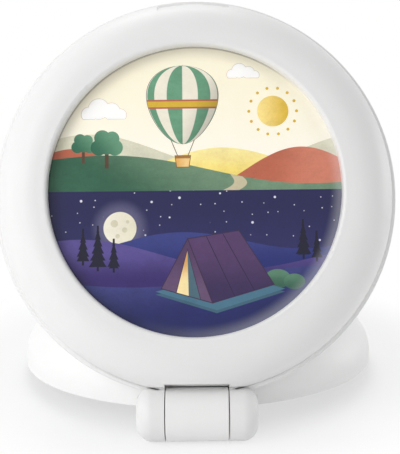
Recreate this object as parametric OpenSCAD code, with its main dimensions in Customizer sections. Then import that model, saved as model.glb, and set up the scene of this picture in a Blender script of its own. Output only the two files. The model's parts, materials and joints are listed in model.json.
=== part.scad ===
// Folding alarm clock and night light for a child's room.
// A round clock leans back on a round cover; the cover folds over the clock's face to protect it.

/* [Clock shell] */
// Outer diameter of the rear shell, the widest part of the clock
shell_d = 141; // [138:1:160]
// Depth of the rear shell behind the parting plane
shell_depth = 19; // [18.5:0.5:24]
// Radius of the rounded edge of the rear shell
shell_corner = 16; // [12:0.5:16]
// Wall of the rear shell
shell_wall = 2; // [1.6:0.1:2.6]
// How far the bezel is set in from the edge of the shell
bezel_setback = 1.6; // [1.5:0.1:3]
// Rounding of the edge of the rear shell beside the bezel
shell_edge = 0.8; // [0.3:0.1:1]

/* [Bezel] */
// Radius of the round outer slope of the bezel, which is also its height
bezel_bulge = 14.8; // [13:0.2:16]
// Wall of the bezel
bezel_wall = 2; // [1.6:0.1:2.4]
// Width of the flat crest between the slope and the lip
crest_flat = 2.8; // [0.6:0.1:4]
// Rounding of the lip round the window
lip_round = 1.3; // [1:0.1:4]
// Straight land of the lip in front of the picture
lip_land = 2.6; // [0.6:0.1:3]

/* [Picture and light] */
// Thickness of the printed picture panel
picture_t = 2; // [1.5:0.1:2.6]
// Thickness of the opal diffuser
diffuser_t = 1.4; // [1:0.1:2]
// Wall of the light box
light_wall = 1.6; // [1.2:0.1:2]
// Diameter of a lamp
led_d = 5; // [4:0.5:6]
// Overall height of a lamp above the board
led_h = 5.6; // [5:0.2:6.4]
// Number of lamps behind each half of the picture
led_count = 3; // [2:1:4]

/* [Cover] */
// Depth of the cover
cover_depth = 19; // [18.5:0.5:24]
// Radius of the rounded edge of the cover
cover_corner = 16; // [12:0.5:16]
// Wall of the cover
cover_wall = 1.6; // [1.3:0.1:1.7]
// Width of the latch tab
latch_w = 24; // [16:1:30]
// Depth of the latch recess at the edge of the bezel
latch_depth = 0.9; // [0.7:0.1:1.2]

/* [Hinge] */
// Angle at which the clock leans back from upright
lean = 19.5; // [14:0.5:21]
// Diameter of the hinge barrel
barrel_d = 18.2; // [17:0.1:18.6]
// Distance from the edge of the shell to the hinge axis
hinge_offset = 5.5; // [5.5:0.1:6.5]
// Length of the middle knuckle
knuckle_w = 21.4; // [18:0.2:26]
// Rounding of the edges of the middle knuckle
knuckle_round = 0.4; // [0.3:0.1:1]
// Length of the whole barrel
hinge_w = 41.6; // [40:0.2:48]
// Diameter of the hinge pin
pin_d = 4; // [3:0.1:5]

/* [Power] */
// Diameter of a battery cell
cell_d = 10.5; // [10:0.1:10.8]
// Length of a battery cell with its cap
cell_l = 44.5; // [44:0.1:46]
// Thickness of the battery door
door_t = 1.7; // [1.4:0.1:1.8]

/* [Boards] */
// Thickness of the circuit boards
board_t = 1.6; // [1:0.1:2]

/* [Controls] */
// Diameter of the four small buttons
key_d = 6; // [5:0.2:7]
// Diameter of the night light button
light_key_d = 12; // [10:0.5:13]
// Depth of the recess that holds the controls
panel_recess = 1; // [0.8:0.1:1.2]
// Travel of a button
key_travel = 0.4; // [0.2:0.05:0.4]
// Travel of a slide switch
slider_travel = 4; // [3:0.5:5]
// Width of a slide switch knob
slider_w = 3.6; // [3:0.2:4.4]
// Visible width of the time display
display_w = 34; // [28:1:36]
// Visible height of the time display
display_h = 13; // [10:0.5:14]

/* [Fits] */
// Gap between the closed cover and the clock
parting_gap = 0.3; // [0.2:0.05:0.4]
// Clearance round parts that drop into a seat
seat_gap = 0.2; // [0.15:0.05:0.25]
// Gap at the seam between the bezel and the rear shell
seam_gap = 0.1; // [0.05:0.05:0.2]
// Radial clearance of the middle knuckle on the pin
pin_gap = 0.05; // [0.02:0.01:0.1]
// Gap between the barrel sections
knuckle_gap = 0.3; // [0.3:0.05:0.5]
// Clearance of the open cover in the hollow of the rear shell
nest_gap = 0.65; // [0.4:0.05:0.8]

/* [Hidden] */
$fn = 96;
tiny = 0.01;

// Main places, in the clock frame: x right, y up the face from the hinge axis, z out of the face
shell_r = shell_d / 2;
barrel_r = barrel_d / 2;
pin_r = pin_d / 2;
centre_y = shell_r + hinge_offset;
ledge_z = -parting_gap / 2;
rim_z = parting_gap / 2;
back_z = -shell_depth;
inner_back_z = back_z + shell_wall;

// The open cover slopes down from the barrel until its far edge meets the table
far_y = centre_y + shell_r;
slope = asin(barrel_r / norm([far_y, rim_z])) + atan(rim_z / far_y);
open_angle = 90 - lean + slope;
axis_z = barrel_r;
axis_y = -(far_y * cos(slope) + rim_z * sin(slope) - barrel_r) / 2;

// Bezel
bezel_r = shell_r - bezel_setback;
bulge_c = bezel_r - bezel_bulge;
lip_r = bulge_c - crest_flat - lip_round;
skirt_z = -1.4;
crest_z = bezel_bulge;
picture_z = crest_z - lip_round - lip_land;
rebate_w = 2.4;
rebate_r = lip_r + rebate_w;
stack_r = rebate_r - seat_gap;
inner_wall_r = rebate_r + bezel_wall;
diffuser_z = picture_z - picture_t;
light_box_z = diffuser_z - diffuser_t;

// Battery bay and boards, stacked up from the door
door_z = back_z + door_t;
bay_floor_z = door_z + cell_d + 2 * seat_gap;
bay_floor_t = 1;
bay_top_z = bay_floor_z + bay_floor_t;
cell_z = (door_z + bay_floor_z) / 2;
board_back_z = bay_top_z + 0.3;
board_z = board_back_z + board_t;
board_r = stack_r - 0.2;
lamp_plate_z = board_z + 1.8;
lamp_plate_t = 1.2;
lamp_rise = 24;
lamp_pitch = 26;

// Shell screws, at the corners of a square
shell_screw_r = shell_r - 10;
screw_head_r = 2.6;
screw_head_h = 2;
screw_shank_r = 1.45;
screw_hole_gap = 0.05;
boss_r = 3.4;
post_r = 4.5;
screw_seat_z = -7;
screw_reach = 7;

// Battery bay and door
bay_v = -12.7;
cell_pitch = cell_d + 0.7;
bay_w = cell_l + 7.5;
bay_h = 2 * cell_pitch + cell_d + 1.1;
bay_wall = 1.5;
door_lap = 1;
door_w = bay_w + 2 * door_lap;
door_h = bay_h + 2 * door_lap;
door_corner = 3;
tongue_w = 10;
tongue_l = 7;
tongue_v = bay_v - door_h / 2 - tongue_l + 3.5;
door_screw_r = 1.2;
door_boss_r = 3;
door_boss_z = inner_back_z + 6;
contact_t = 0.4;
contact_size = 8;
spring_r = 3;
spring_wire_r = 0.35;
spring_turns = 4;
tab_w = 3;

// Control panel
panel_r = shell_r - shell_corner - 7.5;
panel_v = 8;
panel_z = back_z + panel_recess;
panel_t = 1.8;
panel_in_z = panel_z + panel_t;
display_v = 25;
window_t = 1.2;
window_lap = 2;
module_t = 2.8;
window_in_z = panel_in_z + window_t;
control_z = window_in_z + 0.1 + module_t;
control_r = panel_r - 1;
control_v = panel_v + 0.4;
key_v = 12.6;
key_pitch = 14;
key_r = key_d / 2;
light_key_r = light_key_d / 2;
key_gap = 0.2;
key_proud = 0.9;
key_flange = 0.9;
key_flange_t = 0.6;
key_flange_z = panel_in_z + 0.05;
tact_size = 6;
tact_h = 2.2;
tact_stem_r = 1.7;
tact_stem_root = 0.3;
tact_tip_z = key_flange_z + key_flange_t + 0.15 + key_travel;
slider_x = 12;
slider_v = 38.4;
slider_h = 2.2;
slider_proud = 0.9;
slider_flange_t = 0.6;
slot_l = slider_w + slider_travel + 2 * key_gap;
slide_body_w = 8.6;
slide_body_h = 4;
ribbon_w = 14;
ribbon_fold = 4;
ribbon_t = 0.4;
speaker_r = 10;
speaker_h = 4.5;
grille_r = 7;
grille_slot_w = 1.4;
grille_pitch = 2.8;
speaker_x = 32.4;
speaker_v = 21.8;
light_x = -speaker_x;
light_v = speaker_v;

// Board screws, on circles set in from the edges of their boards
main_screw_r = board_r - 5.2;
main_screws = [for (turn = [-5, -47.5, -132.5, -175]) main_screw_r * [cos(turn), sin(turn)]];
control_screw_r = control_r - 2.6;
control_screws = [for (turn = [16, 90, 164]) control_screw_r * [cos(turn), sin(turn)]];
small_screw_r = 1;
board_hole_r = small_screw_r + 0.1;
small_head_r = 1.9;
small_head_h = 1.2;
small_post_r = 2.4;
ribbon_v = control_screw_r - small_head_r - 1.5 - ribbon_fold;

// Components on the back of the main board: places and sizes
controller_at = [-5, 17];
controller = [10, 10, 1.4];
driver_at = [14, 20];
driver = [5, 4, 0.9];
crystal_at = [18, 30];
crystal = [8, 3.2, 1.2];
socket_at = [-14, 32];
socket = [6, 4, 2];
capacitor_at = [-20, 22];
capacitor_r = 2.5;
capacitor_h = 4.6;

// Hinge
bore_r = pin_r + pin_gap;
lug_x = knuckle_w / 2 + knuckle_gap;
lug_round = 5.5;
plug_r = 3.6;
plug_t = 2.5;
pin_l = hinge_w - 2 * plug_t;
barrel_gap = 0.4;
knuckle_notch_r = barrel_r + barrel_gap;
bezel_notch_r = barrel_r + 1.1;
flat_y = barrel_r + 0.2;
notch_rise = 1.1;
shoulder_w = hinge_w / 2 - lug_round - lug_x;
skirt_end_y = bezel_notch_r + bezel_wall + 2.5;

// Latch: the floor of its recess is an arc that leaves the bezel's slope at latch_r0
cover_in_r = bezel_r + parting_gap;
latch_r0 = bezel_r - 5;
latch_z0 = sqrt(pow(bezel_bulge, 2) - pow(latch_r0 - bulge_c, 2));
latch_rf = bezel_r - latch_depth;
latch_c = (pow(latch_rf, 2) - pow(latch_r0, 2) - pow(latch_z0, 2)) / (2 * (latch_rf - latch_r0));
latch_floor = latch_rf - latch_c;
latch_side = 0.6;
nib_w = 7;
nib_r = 0.8;
nib_z = 3;
nib_proud = 0.2;

// ---- frames ----

module clock_frame() {
    translate([0, axis_y, axis_z]) rotate([90 - lean, 0, 0]) children();
}

module cover_frame() {
    translate([0, axis_y, axis_z]) rotate([-slope, 0, 0]) children();
}

module at_centre(x = 0, v = 0, z = 0) {
    translate([x, centre_y + v, z]) children();
}

module mirror_x() {
    for (side = [0, 1]) mirror([side, 0, 0]) children();
}

// ---- shared shapes ----

// Half section of a dish with a round edge, from z = 0 up to z = h
module dish_section(r, h, c) {
    square([r, h - c]);
    square([r - c, h]);
    intersection() {
        translate([r - c, h - c]) circle(c);
        translate([r - c, h - c]) square(c + 1);
    }
}

module dish(r, h, c) {
    rotate_extrude() dish_section(r, h, c);
}

module round_rect(w, h, r) {
    square([w - 2 * r, h], center = true);
    square([w, h - 2 * r], center = true);
    for (x = [-1, 1], y = [-1, 1]) translate([x * (w / 2 - r), y * (h / 2 - r)]) circle(r);
}

module slot_shape(l, w) {
    square([l - w, w], center = true);
    for (x = [-1, 1]) translate([x * (l - w) / 2, 0]) circle(w / 2);
}

// Cylinder along x, centred
module x_rod(r, l) {
    rotate([0, 90, 0]) cylinder(r = r, h = l, center = true);
}

// Pan-head screw with its head at z = 0 to head_h and its shank going up from there
module screw(head_r, head_h, shank_r, reach) {
    difference() {
        union() {
            cylinder(r = head_r, h = head_h);
            translate([0, 0, head_h - tiny]) cylinder(r = shank_r, h = reach + tiny);
        }
        for (turn = [0, 90]) rotate(turn) cube([head_r * 1.3, head_r * 0.26, head_h * 1.1], center = true);
    }
}

module shell_screw_places() {
    for (turn = [45 : 90 : 315]) rotate(turn) translate([shell_screw_r, 0, 0]) children();
}

// The space that the open cover takes, grown by c, seen in the clock frame
module open_cover_space(c) {
    rotate([-open_angle, 0, 0]) translate([0, centre_y, -c])
        dish(shell_r + c, cover_depth + 2 * c, cover_corner + c);
}

// ---- bezel ----

module bezel_section() {
    difference() {
        union() {
            translate([lip_r, skirt_z]) square([bulge_c - lip_r, crest_z - lip_round - skirt_z]);
            translate([lip_r + lip_round, 0]) square([bulge_c - lip_r - lip_round, crest_z]);
            translate([lip_r + lip_round, crest_z - lip_round]) circle(lip_round);
            translate([bulge_c, skirt_z]) square([bezel_bulge, -skirt_z]);
            intersection() {
                translate([bulge_c, 0]) circle(bezel_bulge);
                translate([bulge_c, 0]) square(bezel_bulge + 1);
            }
        }
        translate([lip_r - 1, skirt_z - 1]) square([rebate_w + 1, picture_z - skirt_z + 1]);
        translate([inner_wall_r - tiny, skirt_z - 1])
            square([bezel_r - bezel_wall - inner_wall_r + tiny, 1 - skirt_z]);
        intersection() {
            translate([bulge_c, 0]) circle(bezel_bulge - bezel_wall);
            translate([inner_wall_r - tiny, 0]) square(bezel_bulge);
        }
        translate([rebate_r - 1, skirt_z - 1]) square([inner_wall_r - rebate_r + 1.5, 1 - skirt_z]);
    }
}

// Everything under the outer skin of the bezel
module bezel_envelope() {
    rotate_extrude() {
        translate([lip_r + lip_round, skirt_z]) square([bulge_c - lip_r - lip_round, crest_z - skirt_z]);
        translate([bulge_c, skirt_z]) square([bezel_bulge, -skirt_z]);
        intersection() {
            translate([bulge_c, 0]) circle(bezel_bulge);
            translate([bulge_c, 0]) square(bezel_bulge + 1);
        }
    }
}

module latch_recess() {
    intersection() {
        rotate_extrude() difference() {
            translate([latch_r0, ledge_z + 0.3]) square([8, latch_z0 - ledge_z]);
            translate([latch_c, 0]) circle(latch_floor);
        }
        translate([-latch_w / 2 - latch_side, 0, -1]) cube([latch_w + 2 * latch_side, shell_r, crest_z + 2]);
    }
}

module latch_nib(r) {
    intersection() {
        rotate_extrude() translate([latch_rf + nib_proud - nib_r, nib_z]) circle(r);
        translate([0, latch_rf, nib_z]) cube([nib_w + 2 * (r - nib_r), 20, 20], center = true);
    }
}

module front_bezel() {
    color("whitesmoke") clock_frame() difference() {
        union() {
            at_centre() {
                difference() {
                    rotate_extrude() bezel_section();
                    latch_recess();
                }
                latch_nib(nib_r);
                intersection() {
                    bezel_envelope();
                    shell_screw_places() cylinder(r = boss_r, h = crest_z);
                }
            }
            intersection() {
                at_centre() bezel_envelope();
                x_rod(bezel_notch_r + bezel_wall + notch_rise, 2 * lug_x + 2 * bezel_wall);
                translate([-hinge_w / 2, 0, 0]) cube([hinge_w, centre_y, crest_z]);
            }
        }
        x_rod(bezel_notch_r, 2 * lug_x);
        translate([-lug_x, 0, -centre_y]) cube([2 * lug_x, flat_y + notch_rise, 2 * centre_y]);
        translate([-hinge_w, -centre_y, -centre_y]) cube([2 * hinge_w, centre_y + flat_y, 2 * centre_y]);
        translate([-hinge_w, 0, -centre_y]) cube([2 * hinge_w, skirt_end_y, centre_y]);
        at_centre() shell_screw_places()
            translate([0, 0, -tiny]) cylinder(r = screw_shank_r + screw_hole_gap, h = screw_reach + 1);
    }
}

// ---- picture stack ----

module stack_disc(z, t) {
    clock_frame() at_centre(z = z) cylinder(r = stack_r, h = t);
}

module picture_panel() {
    color("lightgoldenrodyellow") stack_disc(diffuser_z, picture_t);
}

module diffuser_plate() {
    color("white") stack_disc(light_box_z, diffuser_t);
}

// Places of the lamps in one half of the picture: side is 1 for day and -1 for night
module lamp_places(side) {
    for (i = [0 : led_count - 1])
        translate([(i - (led_count - 1) / 2) * lamp_pitch, side * lamp_rise, 0]) children();
}

module light_box() {
    light_in_r = stack_r - light_wall;
    color("white") clock_frame() at_centre() difference() {
        union() {
            difference() {
                translate([0, 0, board_z]) cylinder(r = stack_r, h = light_box_z - board_z);
                translate([0, 0, board_z - 1]) cylinder(r = light_in_r, h = light_box_z - board_z + 2);
            }
            translate([0, 0, lamp_plate_z]) cylinder(r = light_in_r + tiny, h = lamp_plate_t);
            translate([-stack_r + light_wall / 2, -light_wall / 2, lamp_plate_z])
                cube([2 * stack_r - light_wall, light_wall, light_box_z - lamp_plate_z]);
        }
        for (side = [-1, 1]) lamp_places(side)
            translate([0, 0, lamp_plate_z - 1]) cylinder(d = led_d + 2 * seat_gap, h = lamp_plate_t + 2);
    }
}

module lamps(side) {
    clock_frame() at_centre(z = board_z) lamp_places(side) {
        cylinder(d = led_d + 0.8, h = 1);
        cylinder(d = led_d, h = led_h - led_d / 2);
        translate([0, 0, led_h - led_d / 2]) sphere(d = led_d);
    }
}

module day_lamps() {
    color("gold") lamps(1);
}

module night_lamps() {
    color("royalblue") lamps(-1);
}

// ---- boards ----

module main_board() {
    color("seagreen") clock_frame() at_centre(z = board_back_z) difference() {
        cylinder(r = board_r, h = board_t);
        for (p = main_screws) translate([p[0], p[1], -1]) cylinder(r = board_hole_r, h = board_t + 2);
    }
}

// A flat component under the board, with its lower left corner at a place
module chip(place, size) {
    translate([place[0], place[1], -size[2]]) cube(size);
}

module board_components() {
    color("dimgray") clock_frame() at_centre(z = board_back_z) {
        chip(controller_at, controller);
        chip(driver_at, driver);
        chip(crystal_at, crystal);
        chip(socket_at, socket);
        translate([capacitor_at[0], capacitor_at[1], -capacitor_h]) cylinder(r = capacitor_r, h = capacitor_h);
    }
}

module panel_shape(r, v) {
    intersection() {
        circle(r);
        translate([-r, v]) square(2 * r);
    }
}

module control_board() {
    color("seagreen") clock_frame() at_centre(z = control_z) difference() {
        linear_extrude(board_t) difference() {
            panel_shape(control_r, control_v);
            translate([speaker_x, speaker_v]) circle(speaker_r + 2 * seat_gap);
        }
        for (p = control_screws) translate([p[0], p[1], -1]) cylinder(r = board_hole_r, h = board_t + 2);
    }
}

module key_places() {
    for (i = [0 : 3]) translate([(i - 1.5) * key_pitch, key_v, 0]) children();
}

module tact_switch() {
    translate([-tact_size / 2, -tact_size / 2, control_z - tact_h]) cube([tact_size, tact_size, tact_h]);
    translate([0, 0, tact_tip_z])
        cylinder(r = tact_stem_r, h = control_z - tact_h - tact_tip_z + tact_stem_root);
}

module tact_switches() {
    color("dimgray") clock_frame() at_centre() {
        key_places() tact_switch();
        translate([light_x, light_v, 0]) tact_switch();
    }
}

module slide_switches() {
    color("silver") clock_frame() at_centre() for (x = [-slider_x, slider_x])
        translate([x - slide_body_w / 2, slider_v - slide_body_h / 2, panel_in_z + slider_flange_t + 0.5])
            cube([slide_body_w, slide_body_h, control_z - panel_in_z - slider_flange_t - 0.5]);
}

module display_window() {
    color("lightcyan", 0.35) clock_frame() at_centre(v = display_v, z = panel_in_z) linear_extrude(window_t)
        round_rect(display_w + 2 * window_lap, display_h + 2 * window_lap, 1);
}

module display_module() {
    color("darkseagreen") clock_frame() at_centre(v = display_v, z = window_in_z)
        translate([-display_w / 2 - 1.5, -display_h / 2 - 1.5, 0])
            cube([display_w + 3, display_h + 3, control_z - window_in_z]);
}

module board_ribbon() {
    gap_z = board_back_z - control_z - board_t;
    color("lightgray") clock_frame() at_centre(x = -ribbon_w / 2, v = ribbon_v, z = control_z + board_t)
        rotate([90, 0, 90]) linear_extrude(ribbon_w) {
            square([ribbon_fold, ribbon_t]);
            translate([ribbon_fold - ribbon_t, 0]) square([ribbon_t, gap_z]);
            translate([0, gap_z - ribbon_t]) square([ribbon_fold, ribbon_t]);
        }
}

module board_screw(reach) {
    translate([0, 0, small_head_h]) mirror([0, 0, 1])
        screw(small_head_r, small_head_h, small_screw_r, reach);
}

module board_screws() {
    color("silver") clock_frame() at_centre() {
        for (p = main_screws) translate([p[0], p[1], board_z]) board_screw(board_t + 5);
        for (p = control_screws) translate([p[0], p[1], control_z + board_t]) board_screw(board_t + 2.5);
    }
}

// ---- speaker ----

module speaker() {
    color("dimgray") clock_frame() at_centre(speaker_x, speaker_v, panel_in_z) {
        difference() {
            cylinder(r = speaker_r, h = speaker_h - 1.5);
            translate([0, 0, -tiny]) cylinder(r1 = speaker_r - 1, r2 = 4, h = 1.8);
        }
        translate([0, 0, speaker_h - 1.5 - tiny]) cylinder(r = 6, h = 1.5 + tiny);
    }
}

// A wire along straight stretches between points
module wire(points, r) {
    for (i = [0 : len(points) - 2]) {
        d = points[i + 1] - points[i];
        translate(points[i])
            rotate([0, acos(d[2] / norm(d)), atan2(d[1], d[0])]) cylinder(r = r, h = norm(d), $fn = 24);
        if (i > 0) translate(points[i]) sphere(r = r, $fn = 24);
    }
}

module speaker_leads() {
    low = panel_in_z + speaker_h;
    high = control_z + board_t + 1.5;
    end_x = -speaker_r - 2.2;
    color("crimson") clock_frame() at_centre(speaker_x, speaker_v) for (v = [-1.5, 1.5])
        wire([[0, v, low], [0, v, high], [end_x, v, high], [end_x, v, control_z + board_t]], 0.5);
}

// ---- rear shell ----

// Solid under the outer skin, from the ledge down
module rear_envelope() {
    mirror([0, 0, 1]) translate([0, 0, -ledge_z]) rotate_extrude() {
        translate([0, shell_edge]) dish_section(shell_r, shell_depth + ledge_z - shell_edge, shell_corner);
        square([shell_r - shell_edge, shell_edge + tiny]);
        intersection() {
            translate([shell_r - shell_edge, shell_edge]) circle(shell_edge);
            square([shell_r + 1, shell_edge]);
        }
    }
}

module rear_cavity() {
    difference() {
        union() {
            mirror([0, 0, 1]) translate([0, 0, -skirt_z])
                dish(shell_r - shell_wall, shell_depth + skirt_z - shell_wall, shell_corner - shell_wall);
            translate([0, 0, skirt_z]) cylinder(r = bezel_r + seam_gap, h = 5);
        }
        translate([0, 0, skirt_z - 2]) difference() {
            cylinder(r = shell_r, h = 2);
            translate([0, 0, -1]) cylinder(r = bezel_r - bezel_wall, h = 4);
        }
    }
}

module lug_barrels() {
    mirror_x() translate([lug_x, 0, 0]) rotate([0, 90, 0]) rotate_extrude() {
        l = hinge_w / 2 - lug_x;
        square([barrel_r, l - lug_round]);
        square([barrel_r - lug_round, l]);
        intersection() {
            translate([barrel_r - lug_round, l - lug_round]) circle(lug_round);
            translate([barrel_r - lug_round, l - lug_round]) square(lug_round + 1);
        }
    }
}

// Webs that carry the lugs, under the parting plane
module lug_webs() {
    web = hinge_w / 2 - lug_x - 1;
    mirror_x() translate([lug_x, 0, 0]) rotate([90, 0, 90]) linear_extrude(web)
        polygon([[0, -barrel_r + 2], [barrel_r - 1, -barrel_r / 2], [barrel_r + 6, -barrel_r / 2 - 3],
                 [barrel_r + 6, ledge_z], [0, ledge_z]]);
}

module bay_walls() {
    at_centre(v = bay_v) translate([-bay_w / 2 - bay_wall, -bay_h / 2 - bay_wall, inner_back_z - tiny])
        cube([bay_w + 2 * bay_wall, bay_h + 2 * bay_wall, bay_top_z - inner_back_z + tiny]);
}

module bay_space() {
    at_centre(v = bay_v) {
        translate([-bay_w / 2, -bay_h / 2, back_z - 1]) cube([bay_w, bay_h, bay_floor_z - back_z + 1]);
        translate([0, 0, back_z - 1]) linear_extrude(door_t + 1)
            round_rect(door_w + 2 * seat_gap, door_h + 2 * seat_gap, door_corner);
        for (side = [-1, 1]) translate([side * bay_w / 2, 0, cell_z])
            cube([2 * bay_wall + 2, tab_w + 0.4, contact_t + 0.4], center = true);
    }
    at_centre(v = tongue_v) translate([0, 0, back_z - 1]) linear_extrude(door_t + 1)
        door_tongue_shape(seat_gap);
}

module door_tongue_shape(c) {
    circle(tongue_w / 2 + c);
    translate([-tongue_w / 2 - c, 0]) square([tongue_w + 2 * c, tongue_l]);
}

module posts(places, r, low, high) {
    at_centre() for (p = places) translate([p[0], p[1], low]) cylinder(r = r, h = high - low);
}

module panel_cut() {
    at_centre() {
        translate([0, 0, back_z - 1]) linear_extrude(panel_recess + 1) panel_shape(panel_r, panel_v);
        translate([0, display_v, back_z - 1]) linear_extrude(5) round_rect(display_w, display_h, 1);
        translate([0, 0, back_z]) {
            key_places() cylinder(r = key_r + key_gap, h = 5);
            translate([light_x, light_v, 0]) cylinder(r = light_key_r + key_gap, h = 5);
        }
        for (x = [-slider_x, slider_x]) translate([x, slider_v, back_z]) linear_extrude(5)
            round_rect(slot_l, slider_h + 2 * key_gap, 0.5);
        translate([speaker_x, speaker_v, back_z]) linear_extrude(5) for (i = [-2 : 2])
            translate([i * grille_pitch, 0]) rotate(90)
                slot_shape(2 * sqrt(pow(grille_r, 2) - pow(i * grille_pitch, 2)), grille_slot_w);
    }
}

module rear_shell_outside() {
    difference() {
        union() {
            at_centre() rear_envelope();
            lug_webs();
        }
        open_cover_space(nest_gap);
    }
    lug_barrels();
    lug_shoulders();
}

// Slivers that carry the bezel's slope on to the lugs, under the bezel's flat
module lug_shoulders() {
    intersection() {
        at_centre() bezel_envelope();
        mirror_x() translate([lug_x, 0, -1]) cube([shoulder_w, flat_y - seat_gap, crest_z]);
    }
}

module rear_shell_inside() {
    difference() {
        at_centre() rear_cavity();
        open_cover_space(nest_gap + shell_wall);
        x_rod(knuckle_notch_r + shell_wall, 2 * lug_x + 2 * shell_wall);
        bay_walls();
        at_centre() {
            shell_screw_places() translate([0, 0, back_z]) cylinder(r = post_r, h = -back_z + ledge_z);
            translate([0, 0, back_z]) linear_extrude(panel_in_z - back_z)
                panel_shape(panel_r + 2, panel_v - 2);
        }
        posts(main_screws, small_post_r, inner_back_z - tiny, board_back_z);
        posts(control_screws, small_post_r, inner_back_z - tiny, control_z);
        posts([[0, tongue_v]], door_boss_r, inner_back_z - tiny, door_boss_z);
    }
}

module rear_shell() {
    color("whitesmoke") clock_frame() difference() {
        rear_shell_outside();
        rear_shell_inside();
        bay_space();
        panel_cut();
        x_rod(knuckle_notch_r, 2 * lug_x);
        x_rod(pin_r, pin_l);
        mirror_x() translate([hinge_w / 2 - plug_t / 2 + 0.5, 0, 0]) x_rod(plug_r, plug_t + 1);
        at_centre() shell_screw_places() {
            translate([0, 0, back_z - 1]) cylinder(r = screw_shank_r + 0.2, h = -back_z + 2);
            translate([0, 0, back_z - 1]) cylinder(r = screw_head_r + 0.3, h = screw_seat_z - back_z + 1);
        }
        posts(main_screws, small_screw_r + screw_hole_gap, board_back_z - 6, board_back_z + 1);
        posts(control_screws, small_screw_r + screw_hole_gap, control_z - 3.5, control_z + 1);
        posts([[0, tongue_v]], door_screw_r + screw_hole_gap, back_z, door_boss_z + 1);
    }
}

module shell_screws() {
    color("silver") clock_frame() at_centre() shell_screw_places()
        translate([0, 0, screw_seat_z - screw_head_h])
            screw(screw_head_r, screw_head_h, screw_shank_r, screw_reach - screw_seat_z);
}

// ---- battery ----

module battery_door() {
    color("whitesmoke") clock_frame() difference() {
        union() {
            at_centre(v = bay_v, z = back_z) linear_extrude(door_t) round_rect(door_w, door_h, door_corner);
            at_centre(v = tongue_v, z = back_z) linear_extrude(door_t) door_tongue_shape(0);
        }
        at_centre(v = tongue_v, z = back_z - 1) {
            cylinder(r = door_screw_r + 0.2, h = door_t + 2);
            cylinder(r1 = 3.4, r2 = 2.4, h = 2);
        }
        for (i = [-2 : 2]) at_centre(i * 3, bay_v + door_h / 2 - 5, back_z)
            cube([1.2, 5, 1], center = true);
    }
}

module battery_door_screw() {
    color("silver") clock_frame() at_centre(v = tongue_v, z = back_z + 0.1)
        screw(2.1, 0.9, door_screw_r, door_t + 4);
}

// Places of the cells: every second cell is turned round
module cell_places() {
    for (i = [-1 : 1]) at_centre(0, bay_v + i * cell_pitch, cell_z) mirror([abs(i), 0, 0]) children();
}

module battery_cells() {
    cap_l = 1;
    color("slategray") clock_frame() cell_places() translate([bay_w / 2 - contact_t - cap_l, 0, 0]) {
        translate([-(cell_l - cap_l) / 2, 0, 0]) x_rod(cell_d / 2, cell_l - cap_l);
        translate([cap_l / 2 - tiny, 0, 0]) x_rod(1.9, cap_l);
    }
}

module contact_plates() {
    color("lightgray") clock_frame() cell_places() {
        for (side = [-1, 1]) translate([side * (bay_w - contact_t) / 2, 0, 0])
            cube([contact_t, contact_size, contact_size], center = true);
    }
    color("lightgray") clock_frame() at_centre(0, bay_v, cell_z) for (side = [-1, 1])
        translate([side * (bay_w / 2 + bay_wall / 2 + 0.4), 0, 0])
            cube([bay_wall + 1.2, tab_w, contact_t], center = true);
}

// Coil spring along x from 0 to l, swept as rings of points
module coil(l, r, wire_r, turns) {
    steps = 18 * turns;
    sides = 6;
    rise = (l - 2 * wire_r) / steps;
    points = [for (i = [0 : steps], k = [0 : sides - 1])
        let (t = 360 * turns * i / steps, rho = r + wire_r * cos(360 * k / sides))
        [wire_r + rise * i + wire_r * sin(360 * k / sides), rho * cos(t), rho * sin(t)]];
    faces = concat(
        [[for (k = [0 : sides - 1]) k]],
        [[for (k = [0 : sides - 1]) steps * sides + sides - 1 - k]],
        [for (i = [0 : steps - 1], k = [0 : sides - 1])
            let (n = (k + 1) % sides, a = i * sides, b = a + sides) [a + k, b + k, b + n, a + n]]);
    polyhedron(points, faces);
}

module contact_springs() {
    l = bay_w - cell_l - 2 * contact_t;
    color("silver") clock_frame() cell_places()
        translate([-bay_w / 2 + contact_t + 0.02, 0, 0]) coil(l - 0.04, spring_r, spring_wire_r, spring_turns);
}

module battery_leads() {
    tab_x = bay_w / 2 + bay_wall + 1;
    end_x = tab_x + 5;
    run_z = board_back_z - 2;
    color("firebrick") clock_frame() at_centre(0, bay_v) for (s = [-1, 1])
        wire([[s * tab_x, 0, cell_z + contact_t / 2], [s * tab_x, 0, run_z], [s * end_x, 0, run_z],
              [s * end_x, 0, board_back_z]], 0.6);
}

// ---- buttons and sliders ----

module key(r) {
    top = back_z + (panel_recess - key_proud);
    translate([0, 0, top]) cylinder(r = r, h = key_flange_z - top + tiny);
    translate([0, 0, key_flange_z]) cylinder(r = r + key_flange, h = key_flange_t);
    translate([0, 0, key_flange_z + key_flange_t - tiny]) cylinder(r = 1.5, h = 0.1 + tiny);
}

module small_key(i) {
    clock_frame() at_centre((i - 1.5) * key_pitch, key_v) key(key_r);
}

module light_button() {
    color("gold") clock_frame() at_centre(light_x, light_v) key(light_key_r);
}

module hour_button() {
    color("lightgray") small_key(0);
}

module minute_button() {
    color("lightgray") small_key(1);
}

module alarm_button() {
    color("lightgray") small_key(2);
}

module clock_button() {
    color("lightgray") small_key(3);
}

// Knob of a slide switch at the left end of its travel, with its keeper plate behind the panel
module slider_knob(x) {
    keeper_w = slot_l + slider_travel + 1;
    color("slategray") clock_frame() at_centre(x - slider_travel / 2, slider_v) {
        difference() {
            translate([-slider_w / 2, -slider_h / 2, panel_z - slider_proud])
                cube([slider_w, slider_h, key_flange_z - panel_z + slider_proud + tiny]);
            for (i = [-1 : 1]) translate([i * slider_w / 4, 0, panel_z - slider_proud])
                cube([0.35, slider_h + 1, 0.6], center = true);
        }
        translate([-keeper_w / 2, -2, key_flange_z]) cube([keeper_w, 4, slider_flange_t - 0.1]);
    }
}

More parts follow.
